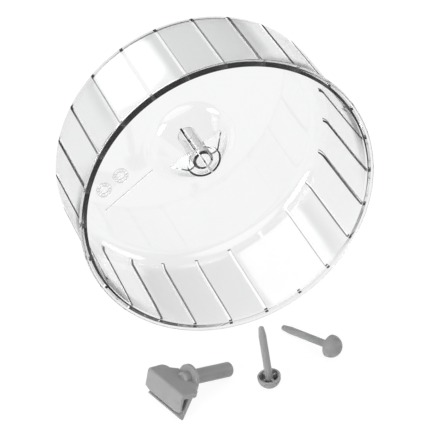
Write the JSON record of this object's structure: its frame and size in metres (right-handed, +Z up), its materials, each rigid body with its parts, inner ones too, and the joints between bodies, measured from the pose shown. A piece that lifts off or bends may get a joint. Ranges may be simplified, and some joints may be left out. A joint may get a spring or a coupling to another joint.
{
  "type": "rodent exercise wheel",
  "caption": "Clear solid-wall running wheel for a small rodent, slotted drum with a hollow hub, with its wire cage clip and axle and mushroom head retaining pins laid out loose in front.",
  "frame": {"origin": "centre of the hub bore at the back mouth of the bearing tube", "axes": "+Y from the open front of the wheel to its back wall, +Z up from the table, +X to the right as seen from the open front"},
  "size_m": [0.145, 0.1251, 0.1447],
  "materials": {
    "clear_drum": "clear gloss moulding",
    "grey_clip": "satin moulding",
    "grey_pin": "satin moulding"
  },
  "bodies": {
    "clip": {"wire_clip": "grey_clip"},
    "wheel": {"wheel": "clear_drum"},
    "standing_pin": {"standing_pin": "grey_pin"},
    "lying_pin": {"lying_pin": "grey_pin"}
  },
  "joints": [
    {"name": "wheel_spin", "type": "hinge", "parent": "clip", "child": "wheel", "pos_m": [0, 0, 0], "axis": [0, 0.9982, -0.0594], "continuous": true},
    {"name": "standing_pin_lift", "type": "slide", "parent": "clip", "child": "standing_pin", "axis": [0, 0, 1], "range_m": [0, 0.08]},
    {"name": "lying_pin_lift", "type": "slide", "parent": "clip", "child": "lying_pin", "axis": [0, 0, 1], "range_m": [0, 0.08]}
  ]
}
